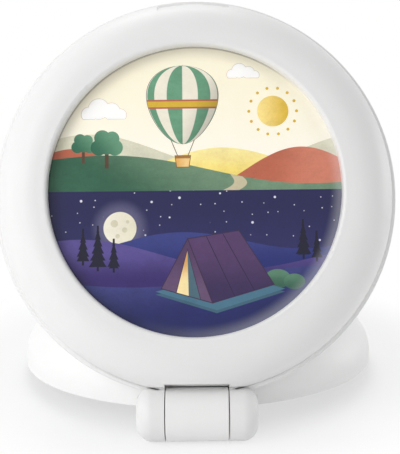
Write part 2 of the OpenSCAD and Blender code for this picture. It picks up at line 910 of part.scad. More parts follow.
module alarm_slider() {
    slider_knob(-slider_x);
}

module volume_slider() {
    slider_knob(slider_x);
}

// ---- hinge ----

module hinge_pin() {
    color("silver") clock_frame() x_rod(pin_r, pin_l);
}

module hinge_plugs() {
    color("whitesmoke") clock_frame() mirror_x()
        translate([hinge_w / 2 - plug_t / 2, 0, 0]) x_rod(plug_r, plug_t);
}

// ---- cover ----

module cover_dish() {
    depth = cover_depth - rim_z;
    translate([0, centre_y, rim_z]) difference() {
        dish(shell_r, depth, cover_corner);
        translate([0, 0, -1]) dish(cover_in_r, depth - cover_wall + 1, cover_corner - cover_wall);
    }
}

module latch_tab() {
    translate([0, centre_y, 0]) difference() {
        intersection() {
            rotate_extrude() difference() {
                translate([latch_r0 + 0.5, rim_z]) square([cover_in_r - latch_r0, latch_z0 - 1]);
                translate([latch_c, 0]) circle(latch_floor + parting_gap);
            }
            translate([-latch_w / 2, 0, -1]) cube([latch_w, shell_r, cover_depth + 2]);
            dish(shell_r - 0.5, cover_depth - 0.5, cover_corner - 0.5);
        }
        latch_nib(nib_r + parting_gap);
    }
}

module knuckle() {
    l = knuckle_w / 2 - knuckle_round;
    rotate([0, 90, 0]) rotate_extrude() {
        translate([0, -l]) square([barrel_r, 2 * l]);
        translate([0, -knuckle_w / 2]) square([barrel_r - knuckle_round, knuckle_w]);
        for (side = [-1, 1]) translate([barrel_r - knuckle_round, side * l]) circle(knuckle_round);
    }
}

module stand_cover() {
    color("whitesmoke") cover_frame() difference() {
        union() {
            cover_dish();
            latch_tab();
            knuckle();
        }
        mirror_x() translate([knuckle_w / 2, 0, 0]) rotate([0, 90, 0])
            cylinder(r = knuckle_notch_r, h = hinge_w / 2 - knuckle_w / 2 + knuckle_gap);
        x_rod(bore_r, knuckle_w + 2);
    }
}

front_bezel();
picture_panel();
diffuser_plate();
light_box();
day_lamps();
night_lamps();
main_board();
board_components();
rear_shell();
shell_screws();
battery_door();
battery_door_screw();
battery_cells();
contact_plates();
contact_springs();
battery_leads();
control_board();
tact_switches();
slide_switches();
display_window();
display_module();
board_ribbon();
board_screws();
speaker();
speaker_leads();
light_button();
hour_button();
minute_button();
alarm_button();
clock_button();
alarm_slider();
volume_slider();
hinge_pin();
hinge_plugs();
stand_cover();
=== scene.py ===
"""Looks of a folding children's alarm clock with a backlit day and night picture.

Every piece is in metres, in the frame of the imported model. The clock leans back on its open cover.
"""
import json
import math
from functools import partialmethod, reduce

import bmesh
import bpy
from bpy.props import FloatProperty, FloatVectorProperty, PointerProperty
from mathutils import Matrix, Vector


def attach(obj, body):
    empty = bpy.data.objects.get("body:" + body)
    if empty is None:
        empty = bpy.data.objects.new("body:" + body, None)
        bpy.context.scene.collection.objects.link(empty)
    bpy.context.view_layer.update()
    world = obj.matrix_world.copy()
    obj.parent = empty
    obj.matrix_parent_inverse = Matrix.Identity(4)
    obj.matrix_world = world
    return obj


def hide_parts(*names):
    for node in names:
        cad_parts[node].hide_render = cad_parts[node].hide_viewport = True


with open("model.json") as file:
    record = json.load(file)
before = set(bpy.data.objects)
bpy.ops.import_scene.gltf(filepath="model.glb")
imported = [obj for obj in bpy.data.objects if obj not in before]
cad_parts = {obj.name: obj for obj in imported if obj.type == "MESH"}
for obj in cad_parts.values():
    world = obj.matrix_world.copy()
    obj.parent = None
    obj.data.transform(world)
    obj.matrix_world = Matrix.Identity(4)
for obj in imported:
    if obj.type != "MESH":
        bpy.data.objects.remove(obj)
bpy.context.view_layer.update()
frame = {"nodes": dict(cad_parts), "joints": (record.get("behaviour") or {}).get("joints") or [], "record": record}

bl_info = {
    "name": "Folding alarm clock",
    "version": (1, 0, 0),
    "blender": (4, 5, 0),
    "location": "3D View > Sidebar > Clock",
    "description": "Dresses the shells, picture, display, controls and inside of a folding alarm clock",
    "category": "Object",
}

MM = 0.001
WHITE = (1, 1, 1)
NODES = frame["nodes"]


# ---- places, worked out from the frame ----

def clock_matrix():
    """Frame of the clock: origin on the hinge axis, x right, y up the face, z out of the face."""
    hinge = next(j for j in frame["joints"] if j["name"] == "cover_fold")
    back = next(m for m in frame["record"]["mounts"] if m["name"] == "rear_face")
    out = -Vector(back["axis"])
    across = Vector((1, 0, 0))
    turn = Matrix((across, out.cross(across), out)).transposed()
    return Matrix.Translation(hinge["pos_m"]) @ turn.to_4x4()


CLOCK = clock_matrix()


def node_points(node):
    """A CAD node's points in the clock frame."""
    back = CLOCK.inverted()
    return [back @ v.co for v in NODES[node].data.vertices]


def span(node, axis):
    """Lowest and highest value of a CAD node along one axis of the clock frame."""
    values = [p[axis] for p in node_points(node)]
    return min(values), max(values)


def middle(node, axis):
    """Half-way along a CAD node on one axis of the clock frame."""
    return sum(span(node, axis)) / 2


CENTRE_Y = middle("picture_panel", 1)
PANEL_R = span("picture_panel", 0)[1] - middle("picture_panel", 0)
PANEL_BACK, PANEL_FRONT = span("picture_panel", 2)
WINDOW_R = min(math.hypot(p.x, p.y - CENTRE_Y) for p in node_points("front_bezel") if p.z > PANEL_FRONT)
DISC = CLOCK @ Matrix.Translation((0, CENTRE_Y, 0))
BACK = DISC @ Matrix.Diagonal((-1, 1, -1, 1))


def on_back(node):
    """Middle of a CAD node and its outermost place, in millimetres on the back: right, up and out."""
    return -middle(node, 0) / MM, (middle(node, 1) - CENTRE_Y) / MM, -span(node, 2)[0] / MM


def slot_middle(slider):
    """Middle of the slot that a slide switch runs in, in millimetres on the back: right and up."""
    travel = next(j for j in frame["joints"] if j["child"] == slider)["range_m"][1]
    u, v, _ = on_back(slider)
    return u - travel / 2 / MM, v


# ---- sizes and colours that a user would change ----

def colour(name, about, value):
    return FloatVectorProperty(name=name, description=about, default=value, subtype="COLOR", size=3,
                               min=0, max=1)


def length(name, about, value, **limits):
    return FloatProperty(name=name, description=about, default=value, subtype="DISTANCE", unit="LENGTH",
                         **limits)


def watts(name, about, value):
    return FloatProperty(name=name, description=about, default=value, min=0, subtype="POWER", unit="POWER")


class ShellLooks(bpy.types.PropertyGroup):
    """Finish of the shells, the buttons and the display."""
    white: colour("White", "Colour of the moulded shells", (0.87, 0.868, 0.865))
    roughness: FloatProperty(name="Roughness", description="Roughness of the shells", default=0.42,
                             min=0, max=1)
    grain: length("Grain", "Size of the grain in the mould's surface", 0.00022, min=0.00005)
    yellow: colour("Button yellow", "Colour of the night light button", (0.86, 0.60, 0.13))
    digit_height: length("Digit height", "Height of the digits of the time", 0.0082, min=0.002, max=0.011)
    grey: colour("Button grey", "Colour of the small buttons", (0.36, 0.385, 0.42))


class PictureLooks(bpy.types.PropertyGroup):
    """Colours of the printed picture."""
    sky_high: colour("High sky", "Day sky at the top", (0.975, 0.925, 0.755))
    sky_low: colour("Low sky", "Day sky over the hills", (0.985, 0.955, 0.86))
    sun: colour("Sun", "Sun, the dots round it and the balloon's narrow band", (0.72, 0.49, 0.045))
    sand: colour("Far hill", "Pale far hill", (0.64, 0.64, 0.50))
    yellow: colour("Yellow hill", "Hill in the middle of the day", (0.90, 0.72, 0.15))
    coral: colour("Coral", "Hill on the right of the day and the balloon's band", (0.52, 0.145, 0.080))
    green: colour("Green hill", "Front hill of the day", (0.030, 0.125, 0.070))
    mint: colour("Mint", "Balloon stripes and light side of the trees", (0.15, 0.36, 0.22))
    cream: colour("Cream", "Balloon and moon", (0.87, 0.83, 0.71))
    ochre: colour("Ochre", "Basket of the balloon", (0.78, 0.42, 0.09))
    night_high: colour("High night", "Night sky at the top", (0.013, 0.013, 0.082))
    night_low: colour("Low night", "Night sky over the hills", (0.022, 0.022, 0.118))
    indigo: colour("Indigo hill", "Front hill of the night", (0.010, 0.015, 0.120))
    violet: colour("Violet hill", "Hill on the left of the night", (0.036, 0.018, 0.145))
    plum: colour("Plum", "Far wall of the tent", (0.036, 0.018, 0.085))
    teal: colour("Teal", "Groundsheet of the tent", (0.070, 0.185, 0.270))


class StageLooks(bpy.types.PropertyGroup):
    """Camera, lamps and light from all round."""
    azimuth: FloatProperty(name="Azimuth", description="Camera's turn round the clock", default=0.49)
    elevation: FloatProperty(name="Elevation", description="Camera's height above the horizon", default=12.68)
    distance: length("Distance", "From the camera to the middle of the clock", 0.3408)
    roll: FloatProperty(name="Roll", description="Camera's roll", default=-0.673)
    focal: length("Focal length", "Camera's focal length", 0.07755)
    side: watts("Side lamp", "Power of the lamp on the left", 1.1)
    key: watts("Key lamp", "Power of the lamp at the upper left", 2.8)
    top: watts("Top lamp", "Power of the lamp overhead", 2.7)
    edge: watts("Edge lamp", "Power of the low lamp on the right", 1.9)
    fill: watts("Fill lamp", "Power of the low lamp at the front left", 1.1)
    sky: FloatProperty(name="Sky", description="Light from all round", default=0.54, min=0)


# ---- nodes and shader maths ----

class Field:
    """A number that changes over a surface, so that shader maths reads as an expression."""

    def __init__(self, nodes, socket):
        self.nodes = nodes
        self.socket = socket

    def _math(self, operation, *others):
        values = dict(enumerate((self, *others)))
        return Field(self.nodes, self.nodes.first("ShaderNodeMath", {"operation": operation}, values))

    __add__ = __radd__ = partialmethod(_math, "ADD")
    __mul__ = __rmul__ = partialmethod(_math, "MULTIPLY")
    __sub__ = partialmethod(_math, "SUBTRACT")
    __truediv__ = partialmethod(_math, "DIVIDE")
    __mod__ = partialmethod(_math, "FLOORED_MODULO")
    __abs__ = partialmethod(_math, "ABSOLUTE")
    sin = partialmethod(_math, "SINE")
    asin = partialmethod(_math, "ARCSINE")
    root = partialmethod(_math, "SQRT")
    power = partialmethod(_math, "POWER")
    least = partialmethod(_math, "MINIMUM")
    most = partialmethod(_math, "MAXIMUM")

    def __rsub__(self, other):
        return (self * -1) + other

    def step(self, low=0, high=1):
        """0 below low and 1 above high, with a smooth rise between them."""
        node = self.nodes.add("ShaderNodeMapRange", {"interpolation_type": "SMOOTHSTEP"},
                              {"Value": self, "From Min": low, "From Max": high})
        return Field(self.nodes, node.outputs["Result"])


class Nodes:
    """Adds nodes to one tree. Every node comes from add()."""

    def __init__(self, tree):
        self.tree = tree

    def add(self, kind, settings=None, values=None):
        """A node of this type, with its settings and the values or links of its sockets."""
        node = self.tree.nodes.new(kind)
        for name, value in (settings or {}).items():
            setattr(node, name, value)
        for name, value in (values or {}).items():
            self.feed(node.inputs[name], value)
        return node

    def first(self, *what):
        """The first output of a new node."""
        return self.add(*what).outputs[0]

    def feed(self, socket, value):
        if isinstance(value, Field):
            value = value.socket
        if isinstance(value, bpy.types.NodeSocket):
            self.tree.links.new(value, socket)
        elif socket.type == "RGBA":
            socket.default_value = (*value, 1)
        else:
            socket.default_value = value

    def looked_at(self):
        """1 for the camera's rays and for mirrored rays and rays through clear plastic, otherwise 0."""
        rays = self.add("ShaderNodeLightPath").outputs
        seen, mirrored, through = (Field(self, rays[f"Is {kind} Ray"])
                                   for kind in ("Camera", "Glossy", "Transmission"))
        return seen.most(mirrored).most(through)


class Shading(Nodes):
    """Builds one material."""

    def __init__(self, name):
        self.material = bpy.data.materials.new(name)
        self.material.use_nodes = True
        super().__init__(self.material.node_tree)
        self.tree.nodes.clear()
        self.shader = self.add("ShaderNodeBsdfPrincipled")
        self.output = self.add("ShaderNodeOutputMaterial", {}, {"Surface": self.shader.outputs[0]})
        self.place = self.add("ShaderNodeTexCoord").outputs["Object"]

    def set(self, **sockets):
        """Feeds sockets of the main shader, with spaces written as underscores."""
        for name, value in sockets.items():
            self.feed(self.shader.inputs[name.replace("_", " ")], value)

    def on_disc(self, unit=1.0):
        """Place from the middle of the picture's disc, along the clock's axes and in this unit."""
        return self.first("ShaderNodeMapping", {"vector_type": "TEXTURE"},
                          {"Vector": self.place, "Location": DISC.translation, "Rotation": DISC.to_euler(),
                           "Scale": (unit, unit, unit)})

    def apart(self, place):
        """The x and y of a place."""
        parts = self.add("ShaderNodeSeparateXYZ", {}, {0: place}).outputs
        return Field(self, parts["X"]), Field(self, parts["Y"])

    def distance(self, place, spot):
        """Distance of a place from a fixed spot."""
        node = self.add("ShaderNodeVectorMath", {"operation": "DISTANCE"}, {0: place, 1: spot})
        return Field(self, node.outputs["Value"])

    def noise(self, size, detail, roughness, place=None, stretch=None):
        """Noise between 0 and 1 with features of about this size."""
        place = place or self.place
        if stretch:
            place = self.first("ShaderNodeMapping", {}, {"Vector": place, "Scale": stretch})
        values = {"Vector": place, "Scale": 1 / size, "Detail": detail, "Roughness": roughness}
        return Field(self, self.add("ShaderNodeTexNoise", {}, values).outputs["Fac"])

    def mix(self, low, high, amount):
        """A colour from low to high as amount goes from 0 to 1."""
        return self.add("ShaderNodeMix", {"data_type": "RGBA"}, {0: amount, 6: low, 7: high}).outputs[2]

    def shade(self, tone, amount):
        """A colour made darker or lighter: amount is a field round 1."""
        return self.first("ShaderNodeVectorMath", {"operation": "SCALE"}, {0: tone, "Scale": amount})

    def bump(self, height, distance, strength, under=None):
        """A surface with this relief, over another relief if there is one."""
        values = {"Height": height, "Distance": distance, "Strength": strength}
        if under:
            values["Normal"] = under
        return self.first("ShaderNodeBump", {}, values)


# ---- pieces and outlines ----

def link(name, data):
    """A new object in the scene."""
    made = bpy.data.objects.new(name, data)
    bpy.context.scene.collection.objects.link(made)
    return made


def mesh_of(bm, name):
    """A mesh from a finished bmesh."""
    mesh = bpy.data.meshes.new(name)
    bm.to_mesh(mesh)
    bm.free()
    return mesh


def dress(material, *nodes):
    """Gives CAD nodes a material in place of their own."""
    for node in nodes:
        mesh = NODES[node].data
        mesh.materials.clear()
        mesh.materials.append(material)


def add_piece(name, mesh, material, body, slot, *stands_for):
    """Links a finished mesh as a piece that rides on a body."""
    piece = link(name, mesh)
    mesh.materials.clear()
    mesh.materials.append(material)
    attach(piece, body)
    if stands_for:
        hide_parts(*stands_for)


def back_prisms(name, outlines, low, high):
    """A mesh of flat prisms on the back. Outlines run anticlockwise in millimetres, as seen from behind."""
    bm = bmesh.new()
    for outline in outlines:
        lower, upper = ([bm.verts.new(BACK @ (Vector((u, v, out)) * MM)) for u, v in outline]
                        for out in (low, high))
        bm.faces.new(upper)
        bm.faces.new(lower[::-1])
        for i in range(len(outline)):
            n = (i + 1) % len(outline)
            bm.faces.new([lower[i], lower[n], upper[n], upper[i]])
    return mesh_of(bm, name)


def arc(u, v, radius, start, end, sides):
    """Points on an arc, in degrees anticlockwise."""
    turns = [math.radians(start + (end - start) * i / sides) for i in range(sides + 1)]
    return [(u + radius * math.cos(t), v + radius * math.sin(t)) for t in turns]


def circle(u, v, radius, sides):
    """Outline of a full circle."""
    return arc(u, v, radius, 0, 360, sides)[:-1]


def ring(radius, width, sides=32):
    """Outlines of a ring round 0, 0 in four parts that meet."""
    return [arc(0, 0, radius + width / 2, 90 * q, 90 * q + 90, sides // 4)
            + arc(0, 0, radius - width / 2, 90 * q + 90, 90 * q, sides // 4) for q in range(4)]


def stroke(path, width):
    """Outline of an open line of this width."""
    left, right = [], []
    for i, point in enumerate(path):
        before = Vector(path[max(i - 1, 0)])
        after = Vector(path[min(i + 1, len(path) - 1)])
        run = (after - before).normalized()
        wide = Vector((-run.y, run.x)) * width / 2
        left.append(tuple(Vector(point) + wide))
        right.append(tuple(Vector(point) - wide))
    return right + left[::-1]


def placed(outlines, u, v, k=1.0):
    """Outlines moved from 0, 0 to u, v and made k times as large."""
    return [[(u + k * x, v + k * y) for x, y in outline] for outline in outlines]


# ---- signs: outlines round 0, 0 in millimetres ----

# one and two arrow heads that point up
HOUR_SIGN = [stroke([(-1.2, -0.6), (0, 0.6), (1.2, -0.6)], 0.45)]
MINUTE_SIGN = [stroke([(-1.1, y - 0.5), (0, y + 0.5), (1.1, y - 0.5)], 0.4) for y in (-0.65, 0.65)]
# a bell over its clapper
BELL_SIGN = [[(1.3, -0.95), *arc(0, 0.35, 0.85, 0, 180, 14), (-1.3, -0.95)], arc(0, -1.3, 0.32, 180, 360, 10)]
# a dial with two hands
CLOCK_SIGN = [*ring(1.65, 0.36), stroke([(0, 1.0), (0, -0.12)], 0.34), stroke([(0, 0), (0.85, 0)], 0.34)]


def speaker_sign(waves):
    """A loudspeaker with this many sound waves."""
    horn = [(-1.5, -0.4), (-0.9, -0.4), (-0.2, -1.1), (-0.2, 1.1), (-0.9, 0.4), (-1.5, 0.4)]
    return [horn] + [stroke(arc(-0.3, 0, 0.7 + 0.6 * wave, -42, 42, 10), 0.26) for wave in range(waves)]


# ---- Geometry Nodes ----

class Growth(Nodes):
    """Builds one Geometry Nodes tree. It ends in Realize Instances and Set Material."""

    def __init__(self, name, **inputs):
        super().__init__(bpy.data.node_groups.new(name, "GeometryNodeTree"))
        kinds = {"Geometry": "Geometry", **inputs, "Material": "Material"}
        self.inputs = {label: self.socket(label, "INPUT", kind) for label, kind in kinds.items()}
        self.socket("Geometry", "OUTPUT", "Geometry")
        self.given = self.add("NodeGroupInput").outputs

    def socket(self, label, way, kind):
        """Identifier of a new socket of the tree, with the underscores of its label as spaces."""
        return self.tree.interface.new_socket(label.replace("_", " "), in_out=way,
                                              socket_type="NodeSocket" + kind).identifier

    def box(self, name):
        """A box that has its length, width and height from the tree's inputs."""
        sides = {"X": "Length", "Y": "Width", "Z": "Height"}
        values = {axis: self.given[f"{name} {side}"] for axis, side in sides.items()}
        size = self.first("ShaderNodeCombineXYZ", {}, values)
        return self.first("GeometryNodeMeshCube", {}, {"Size": size})

    def end(self, geometry):
        real = self.first("GeometryNodeRealizeInstances", {}, {"Geometry": geometry})
        values = {"Geometry": real, "Material": self.given["Material"]}
        self.add("NodeGroupOutput", {}, {0: self.first("GeometryNodeSetMaterial", {}, values)})
        return self

    def grow(self, name, material, base=None, **values):
        """The plain mesh that the tree makes from a base mesh."""
        holder = link(name + "_holder", base or bpy.data.meshes.new(name + "_base"))
        modifier = holder.modifiers.new("growth", "NODES")
        modifier.node_group = self.tree
        for label, value in {**values, "Material": material}.items():
            modifier[self.inputs[label]] = value
        bpy.context.view_layer.update()
        shaped = holder.evaluated_get(bpy.context.evaluated_depsgraph_get())
        mesh = bpy.data.meshes.new_from_object(shaped)
        mesh.name = name
        holder.modifiers.remove(modifier)
        bpy.data.objects.remove(holder)
        return mesh


def ray_ring():
    """Bars that stand round a circle, such as the rays of a sun."""
    g = Growth("ray_ring", Count="Int", Radius="Float", Ray_Length="Float", Ray_Width="Float",
               Ray_Height="Float")
    spots = g.first("GeometryNodeMeshCircle", {}, {"Vertices": g.given["Count"], "Radius": g.given["Radius"]})
    turn = g.first("FunctionNodeAlignRotationToVector", {"axis": "X"},
                   {"Vector": g.first("GeometryNodeInputPosition")})
    return g.end(g.first("GeometryNodeInstanceOnPoints", {},
                         {"Points": spots, "Instance": g.box("Ray"), "Rotation": turn}))


def segment_bars():
    """A bar on each point, turned by the point's own turn."""
    g = Growth("segment_bars", Bar_Length="Float", Bar_Width="Float", Bar_Height="Float")
    turn = g.add("GeometryNodeInputNamedAttribute", {"data_type": "FLOAT"}, {"Name": "turn"})
    angle = g.first("ShaderNodeCombineXYZ", {}, {"Z": turn.outputs["Attribute"]})
    return g.end(g.first("GeometryNodeInstanceOnPoints", {},
                         {"Points": g.given["Geometry"], "Instance": g.box("Bar"), "Rotation": angle}))


def wire_coil():
    """A coil of round wire along Z."""
    g = Growth("wire_coil", Turns="Float", Coil_Radius="Float", Coil_Length="Float", Wire_Radius="Float")
    path = g.first("GeometryNodeCurveSpiral", {},
                   {"Resolution": 26, "Rotations": g.given["Turns"], "Start Radius": g.given["Coil Radius"],
                    "End Radius": g.given["Coil Radius"], "Height": g.given["Coil Length"]})
    wire = g.first("GeometryNodeCurvePrimitiveCircle", {},
                   {"Resolution": 10, "Radius": g.given["Wire Radius"]})
    tube = g.first("GeometryNodeCurveToMesh", {}, {"Curve": path, "Profile Curve": wire, "Fill Caps": True})
    return g.end(g.first("GeometryNodeSetShadeSmooth", {}, {"Geometry": tube}))


# ---- materials ----

def moulded_plastic(name, tone, roughness, grain):
    """Satin moulded plastic: spark-eroded grain, slow sink marks and faint rubbed patches."""
    grain_depth, sink_size, sink_depth, patch_size = 0.000006, 0.018, 0.00004, 0.006
    s = Shading(name)
    fine = s.noise(grain, 3, 0.6)
    slow = s.noise(sink_size, 2, 0.45)
    rubbed = s.noise(patch_size, 4, 0.6).step(0.52, 0.8)
    s.set(Base_Color=s.shade(tone, 0.985 + 0.03 * slow),
          Roughness=roughness + 0.07 * (fine - 0.5) + 0.05 * (slow - 0.5) - 0.05 * rubbed,
          Normal=s.bump(slow, sink_depth, 0.35, s.bump(fine, grain_depth, 0.5)))
    return s.material


def brushed_metal(name, tone, roughness, stretch=(1, 12, 12)):
    """Plated or drawn steel with fine lines."""
    line_size, line_depth, patch_size = 0.0009, 0.00002, 0.003
    s = Shading(name)
    lines = s.noise(line_size, 3, 0.6, stretch=stretch)
    patch = s.noise(patch_size, 3, 0.55)
    s.set(Base_Color=s.shade(tone, 0.9 + 0.2 * patch), Metallic=1.0,
          Roughness=roughness + 0.16 * (lines - 0.5) + 0.1 * (patch - 0.5),
          Normal=s.bump(lines, line_depth, 0.4))
    return s.material


def plain_moulding(name, tone, roughness, grain=0.0012):
    """Small moulded or coated pieces, and printed signs."""
    grain_depth = 0.00002
    s = Shading(name)
    fine = s.noise(grain, 4, 0.6)
    s.set(Base_Color=s.shade(tone, 0.9 + 0.2 * fine), Roughness=roughness + 0.12 * (fine - 0.5),
          Normal=s.bump(fine, grain_depth, 0.4))
    return s.material


def circuit_board(name):
    """Green solder resist over square copper tracks."""
    cells_per_metre, pitch, track_half, edge, track_height = 260, 0.24, 0.05, 0.01, 0.00004
    s = Shading(name)
    cells = s.add("ShaderNodeTexVoronoi", {"distance": "MANHATTAN", "feature": "F2"},
                  {"Vector": s.on_disc(), "Scale": cells_per_metre, "Randomness": 0.7})
    lines = Field(s, cells.outputs["Distance"]) % pitch
    copper = (abs(lines - pitch / 2) - track_half).step(edge, -edge)
    weave = s.noise(0.0004, 2, 0.5)
    green = s.mix((0.012, 0.13, 0.055), (0.022, 0.20, 0.085), copper)
    s.set(Base_Color=s.shade(green, 0.9 + 0.2 * weave), Roughness=0.28 + 0.1 * weave, Coat_Weight=0.3,
          Normal=s.bump(copper, track_height, 0.5))
    return s.material


def cell_sleeve(name):
    """Printed sleeve of a battery cell with a metal end ring, banded along the cell."""
    ring_start, band_middle, band_half, edge = 0.0209, 0.0135, 0.0055, 0.0001
    s = Shading(name)
    ends = abs(s.apart(s.place)[0])
    metal = ends.step(ring_start - edge, ring_start + edge)
    band = (abs(ends - band_middle) - band_half).step(edge, -edge)
    scuff = s.noise(0.0015, 4, 0.6)
    sleeve = s.mix((0.03, 0.035, 0.045), (0.62, 0.33, 0.12), band)
    s.set(Base_Color=s.shade(s.mix(sleeve, (0.62, 0.62, 0.60), metal), 0.92 + 0.16 * scuff),
          Metallic=0.25 + 0.75 * metal, Roughness=0.3 + 0.15 * scuff)
    return s.material


def clear_plastic(name, tone, alpha):
    """Clear moulded plastic with faint rubbing."""
    s = Shading(name)
    rub = s.noise(0.002, 4, 0.65)
    s.set(Base_Color=tone, Alpha=alpha + 0.04 * (rub - 0.5), Roughness=0.06 + 0.08 * rub.step(0.55, 0.8))
    return s.material


# ---- the picture ----

PRINT_EDGE = 0.09


class Painting:
    """Lays painted shapes over each other. Places are in millimetres from the middle of the disc."""

    def __init__(self, shading, looks):
        self.s = shading
        self.looks = looks
        place = shading.on_disc(MM)
        self.x, self.y = shading.apart(place)
        self.flat = shading.first("ShaderNodeCombineXYZ", {}, {"X": self.x, "Y": self.y})
        self.speckle = shading.noise(0.8, 3, 0.7, place)
        wash = shading.noise(7.0, 5, 0.62, place)
        brush = shading.noise(2.4, 3, 0.6, place, stretch=(0.4, 1.6, 1))
        self.strokes = 2.2 * ((wash - 0.5) + 0.55 * (self.speckle - 0.5) + 0.45 * (brush - 0.5))
        self.surface = None

    def edge(self, inside, soft=PRINT_EDGE):
        """1 where a distance is inside a shape."""
        return inside.step(-soft, soft)

    def dot(self, x, y, radius):
        """Distance inside a round dot."""
        return radius - self.s.distance(self.flat, (x, y, 0))

    def dots(self, x, y, size, circles):
        """Distance inside dots that run together, with places and radii times size."""
        return reduce(Field.most, [self.dot(x + a * size, y + b * size, r * size) for a, b, r in circles])

    def side(self, a, b):
        """Distance to the left of the line from a to b."""
        run = Vector((b[0] - a[0], b[1] - a[1])).normalized()
        return self.x * -run.y + self.y * run.x + (run.y * a[0] - run.x * a[1])

    def corners(self, *points):
        """Distance inside a convex shape whose corners run anticlockwise."""
        return reduce(Field.least, [self.side(a, b) for a, b in zip(points, points[1:] + points[:1])])

    def oval(self, x, y, wide, high):
        """Distance inside an oval, right along its shorter half."""
        reach = (((self.x - x) / wide).power(2) + ((self.y - y) / high).power(2)).root()
        return (1 - reach) * min(wide, high)

    def hill(self, height, swell, middle_x, run, tilt=0.0):
        """Distance under a hill's outline, a wave of this swell and run on a slope of this tilt."""
        outline = ((self.x - middle_x) * (2 * math.pi / run)).sin() * swell
        return outline + self.x * tilt + height - self.y

    def lay(self, inside, tone, soft=PRINT_EDGE, second=None, blend=None, texture=0.16):
        """Paints a shape in one tone, or from a first to a second tone. The first shape fills the disc."""
        if second is not None:
            tone = self.s.mix(tone, second, blend)
        painted = self.s.shade(tone, 1 + texture * self.strokes)
        if self.surface is None:
            self.surface = painted
        else:
            self.surface = self.s.mix(self.surface, painted, self.edge(inside, soft))

    def line(self, inside, tone, width):
        """Draws a thin line along a shape's edge."""
        self.surface = self.s.mix(self.surface, tone, self.edge(width - abs(inside), 0.06))


def paint_day(art):
    """Paints the day half, from the sky to the nearest shapes."""
    looks, x, y = art.looks, art.x, art.y
    art.lay(None, looks.sky_low, second=looks.sky_high, blend=(y * 0.028 - 0.1).step(), texture=0.025)

    # sun in a ring of dots
    sun_x, sun_y, ring_r, count = 27, 27, 8.2, 14
    art.lay(art.dot(sun_x, sun_y, 5.4), looks.sun,
            second=(0.93, 0.76, 0.30), blend=((sun_x - x) * 0.08 + 0.5).step())
    for i in range(count):
        turn = 2 * math.pi * i / count
        dot = art.dot(sun_x + ring_r * math.cos(turn), sun_y + ring_r * math.sin(turn), 0.52)
        art.lay(dot, looks.sun, texture=0.1)

    # clouds with flat feet
    puffs = ((-5.2, 0, 2.6), (-1.8, 1.9, 3.6), (2.6, 1.0, 3.0), (5.6, -0.3, 2.2))
    for cx, cy, size in ((-31, 26.5, 1.0), (17, 40, 0.72)):
        cloud = art.dots(cx, cy, size, puffs).least(y - (cy - 1.7 * size))
        art.lay(cloud, (0.985, 0.98, 0.965), texture=0.04)
        art.line(cloud, (0.72, 0.68, 0.60), 0.11)

    # hills from far to near
    art.lay(art.hill(13.5, 6.0, -60, 96), looks.sand,
            second=(0.75, 0.73, 0.58), blend=(y * 0.07).step(0, 1.4))
    art.lay(art.hill(9.0, 5.0, -14, 84, 0.06), looks.yellow,
            second=(0.96, 0.85, 0.40), blend=((y - 2) * 0.09).step(0, 1.2))
    art.lay(art.hill(6.5, 8.0, 17, 78), looks.coral,
            second=(0.66, 0.24, 0.155), blend=((x - 24) * 0.05).step())
    front = art.hill(7.2, 3.4, -54, 118, -0.055)
    art.lay(front, looks.green, second=(0.18, 0.30, 0.19),
            blend=((x + 32) * 0.022 + (y - 3) * 0.03).step(), texture=0.24)

    # winding path
    bend = (y * 0.62 + 0.4).sin() * 2.4 + y * 0.55 + 12
    art.lay((2.7 - y * 0.21 - abs(x - bend)).least(front), (0.62, 0.56, 0.38), texture=0.12)

    # bushy trees on short trunks
    leaves = ((-2.3, 5.2, 2.3), (2.3, 5.2, 2.3), (-1.3, 8.0, 2.3), (1.5, 7.8, 2.1), (0, 5.8, 2.6))
    for tx, ty, size in ((-38.0, 10.4, 0.9), (-30.0, 8.6, 1.2)):
        trunk = (0.55 * size - abs(x - tx)).least(y - ty + 1).least(ty + 5 * size - y)
        art.lay(trunk, (0.10, 0.055, 0.03))
        art.lay(art.dots(tx, ty, size, leaves), (0.030, 0.150, 0.085),
                second=looks.mint, blend=((x - tx) * 0.1 + (y - ty - 6) * 0.08).step(-0.5, 0.7))

    # hot-air balloon: ropes, envelope with its stripes and band, shade, basket
    bx, by, wide, high, stripe_count = -4.0, 29.6, 12.0, 13.8, 7
    up = (y - by) / high
    half = (1 - up * up).most(0.0).root() * (1 + 0.26 * up) * wide
    body = (half - abs(x - bx)).least(high - 0.02 - abs(y - by))
    gore = ((x - bx) / half.most(0.01)).most(-1.0).least(1.0).asin() * (stripe_count / 2 / math.pi)
    stripes = (abs((gore + 0.25) % 1.0 - 0.5) - 0.25) * 6
    left, right = (0.14 - abs(art.side((bx + way * 1.7, 11.6), (bx + way * 4.4, 18.2))) for way in (-1, 1))
    art.lay(left.most(right).least(y - 11.2).least(18.6 - y), (0.20, 0.16, 0.12), 0.06)
    art.lay(body, looks.cream, texture=0.06)
    art.lay(body.least(stripes), looks.mint, texture=0.2)
    art.lay(body.least(1.6 - abs(y - by - 0.2)), looks.coral, texture=0.14)
    art.lay(body.least(1.0 - abs(y - by - 0.2)), looks.sun, texture=0.12)
    shaded = art.edge(body) * ((x - bx) * 0.1 + (by - y) * 0.05).step(0.1, 1.5)
    art.surface = art.s.mix(art.surface, art.s.shade(art.surface, 0.62), shaded)
    art.line(body, (0.23, 0.22, 0.19), 0.12)
    basket = art.corners((bx - 2.1, 7.8), (bx + 2.1, 7.8), (bx + 2.7, 11.8), (bx - 2.7, 11.8))
    art.lay(basket, looks.ochre, second=(0.88, 0.62, 0.26), blend=(x - bx + 0.8).step(-2, 2))
    art.lay(basket.least(0.45 - abs(y - 11.3)), (0.40, 0.19, 0.05))
    art.line(basket, (0.25, 0.14, 0.06), 0.13)


